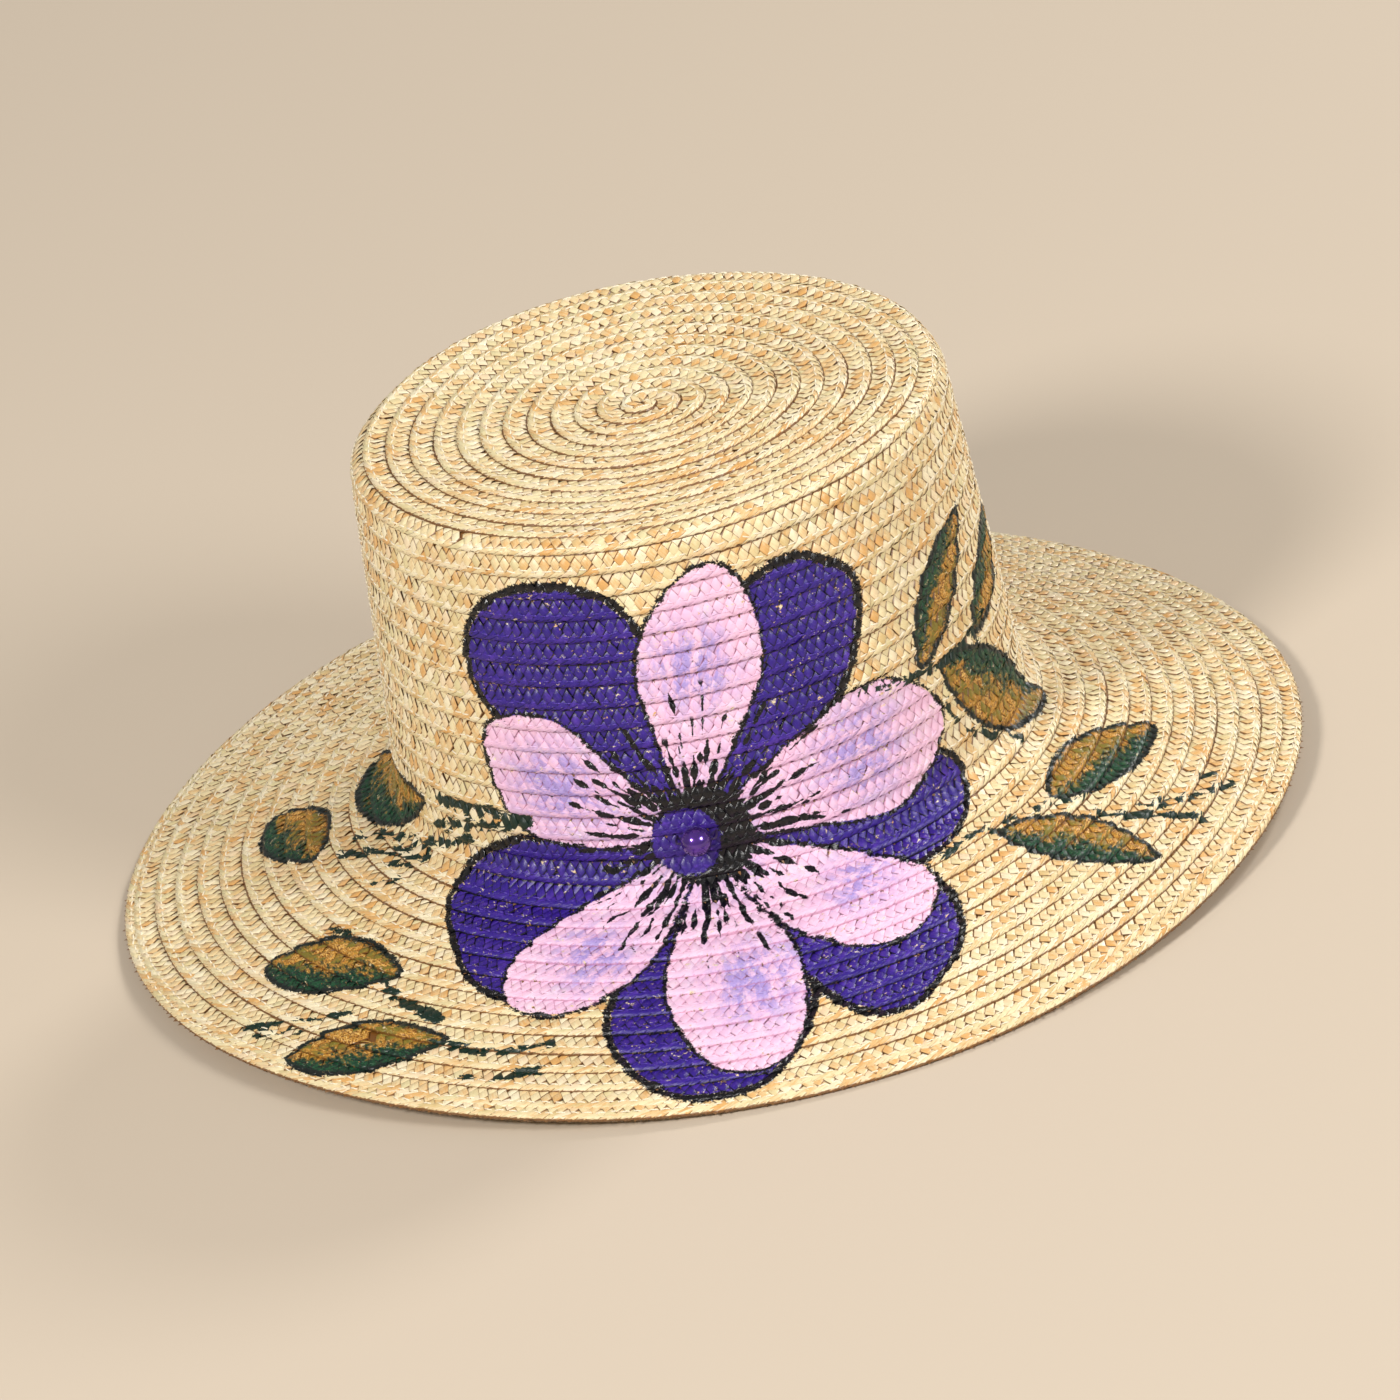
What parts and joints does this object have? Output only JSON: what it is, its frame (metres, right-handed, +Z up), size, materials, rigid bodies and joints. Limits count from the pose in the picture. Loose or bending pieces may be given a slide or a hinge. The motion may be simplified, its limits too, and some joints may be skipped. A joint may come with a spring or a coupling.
{
  "type": "sun hat",
  "caption": "Wide-brimmed sun hat sewn from straw braid, with a flat tip, a sloping brim, a painted flower and leaves, and a bead sewn at the flower's centre.",
  "frame": {"origin": "on the crown's axis, in the plane that the edge of the brim rests on", "axes": "+Z up along the crown's axis, -Y towards the front of the hat, where the bead is, +X to the right as the hat is seen from the front"},
  "size_m": [0.356, 0.356, 0.1376],
  "materials": {
    "straw": "woven wheat straw, satin with glossy strands",
    "sewing_thread": "matt cotton",
    "ribbon": "ribbed grosgrain",
    "pearl": "pearlescent gloss",
    "bead_thread": "matt polyester"
  },
  "bodies": {
    "root": {"crown_tip_braid": "straw", "crown_side_braid": "straw", "brim_braid": "straw", "brim_edge_braid": "straw", "tip_seam_thread": "sewing_thread", "side_seam_thread": "sewing_thread", "brim_seam_thread": "sewing_thread", "edge_seam_thread": "sewing_thread", "sweatband": "ribbon", "sweatband_thread": "sewing_thread", "pearl_bead": "pearl", "bead_thread": "bead_thread"}
  },
  "joints": []
}
